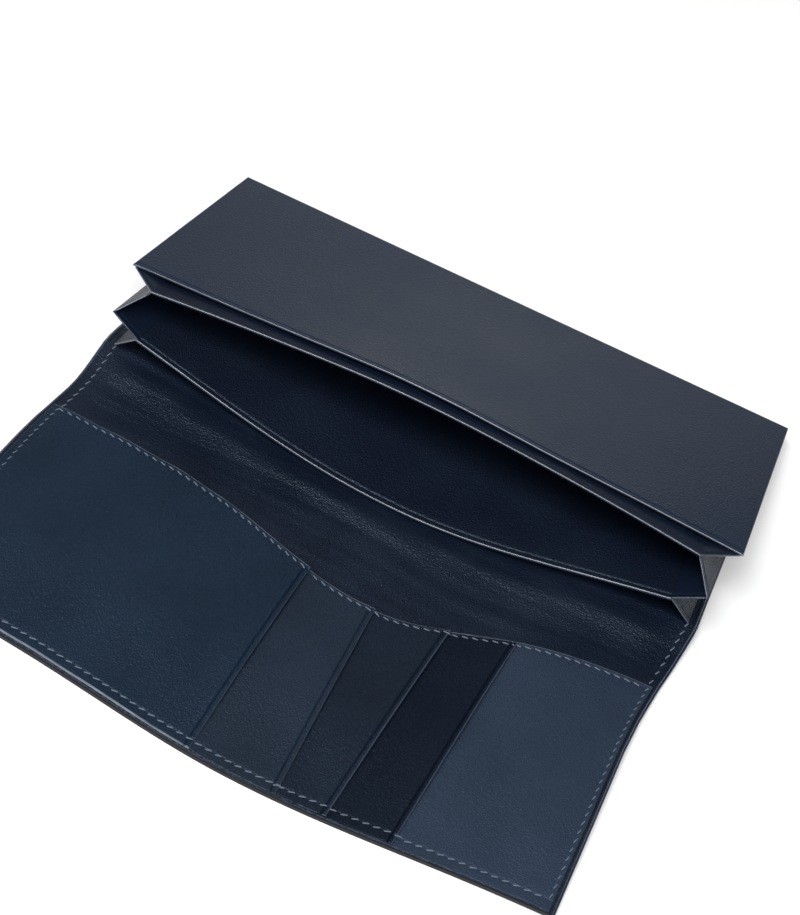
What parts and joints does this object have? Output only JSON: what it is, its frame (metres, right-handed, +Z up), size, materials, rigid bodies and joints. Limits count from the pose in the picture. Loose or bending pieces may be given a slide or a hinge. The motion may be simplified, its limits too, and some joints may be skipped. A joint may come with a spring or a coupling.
{
  "type": "long wallet",
  "caption": "Long bifold wallet lying open: gusseted bill compartments on one half, side-entry card pockets on the other, joined by a soft leather spine.",
  "frame": {"origin": "on the table, under the middle of the open wallet's bounding box", "axes": "+X along the wallet's long mouths, +Y from the flap's outer edge to the body's closed edge, +Z up off the table"},
  "size_m": [0.19, 0.2036, 0.0252],
  "materials": {
    "outer_leather": "smooth navy leather, satin to glossy",
    "lining_leather": "smooth dark navy leather, satin",
    "gusset_leather": "thin navy leather, satin",
    "card_leather": "smooth navy leather, satin",
    "board": "stiffening board, matte",
    "thread": "waxed polyester thread, blue-grey"
  },
  "bodies": {
    "back": {"back_cover": "outer_leather", "back_board": "board", "back_lining": "lining_leather", "closed_edge_binding": "outer_leather", "rear_panel_face": "outer_leather", "rear_panel_lining": "lining_leather", "gusset_rear_left": "gusset_leather", "gusset_rear_right": "gusset_leather", "gusset_middle_lower_left": "gusset_leather", "gusset_middle_lower_right": "gusset_leather", "gusset_middle_upper_left": "gusset_leather", "gusset_middle_upper_right": "gusset_leather", "body_side_stitching_left": "thread", "body_side_stitching_right": "thread"},
    "divider": {"divider_face": "outer_leather", "divider_lining": "lining_leather"},
    "front_panel": {"front_panel_face": "outer_leather", "front_panel_board": "board", "front_panel_lining": "lining_leather", "gusset_front_left": "gusset_leather", "gusset_front_right": "gusset_leather"},
    "spine": {"spine_cover": "outer_leather", "spine_lining": "lining_leather", "spine_side_stitching_left": "thread", "spine_side_stitching_right": "thread"},
    "flap": {"flap_cover": "outer_leather", "flap_board": "board", "flap_lining": "lining_leather", "card_base": "card_leather", "card_pocket_1": "card_leather", "card_pocket_2": "card_leather", "card_pocket_3": "card_leather", "card_pocket_4": "card_leather", "card_top_stitching": "thread", "flap_edge_stitching": "thread", "flap_side_stitching_left": "thread", "flap_side_stitching_right": "thread"}
  },
  "joints": [
    {"name": "divider_fold", "type": "hinge", "parent": "back", "child": "divider", "pos_m": [0, 0.10075, 0.005], "axis": [1, 0, 0], "range_deg": [0, 5.5], "deforming": ["gusset_middle_lower_left", "gusset_middle_lower_right", "gusset_middle_upper_left", "gusset_middle_upper_right"]},
    {"name": "front_panel_fold", "type": "hinge", "parent": "back", "child": "front_panel", "pos_m": [0, 0.10075, 0.005], "axis": [1, 0, 0], "range_deg": [0, 5.5]},
    {"name": "spine_bend", "type": "hinge", "parent": "back", "child": "spine", "pos_m": [0, 0.00325, 0.0034], "axis": [-1, 0, 0], "range_deg": [0, 90]},
    {"name": "flap_bend", "type": "hinge", "parent": "spine", "child": "flap", "pos_m": [0, -0.02375, 0.0034], "axis": [-1, 0, 0], "range_deg": [0, 90]}
  ],
  "couplings": [
    {"joint": "front_panel_fold", "follows": "divider_fold", "ratio": 1},
    {"joint": "flap_bend", "follows": "spine_bend", "ratio": 1}
  ]
}
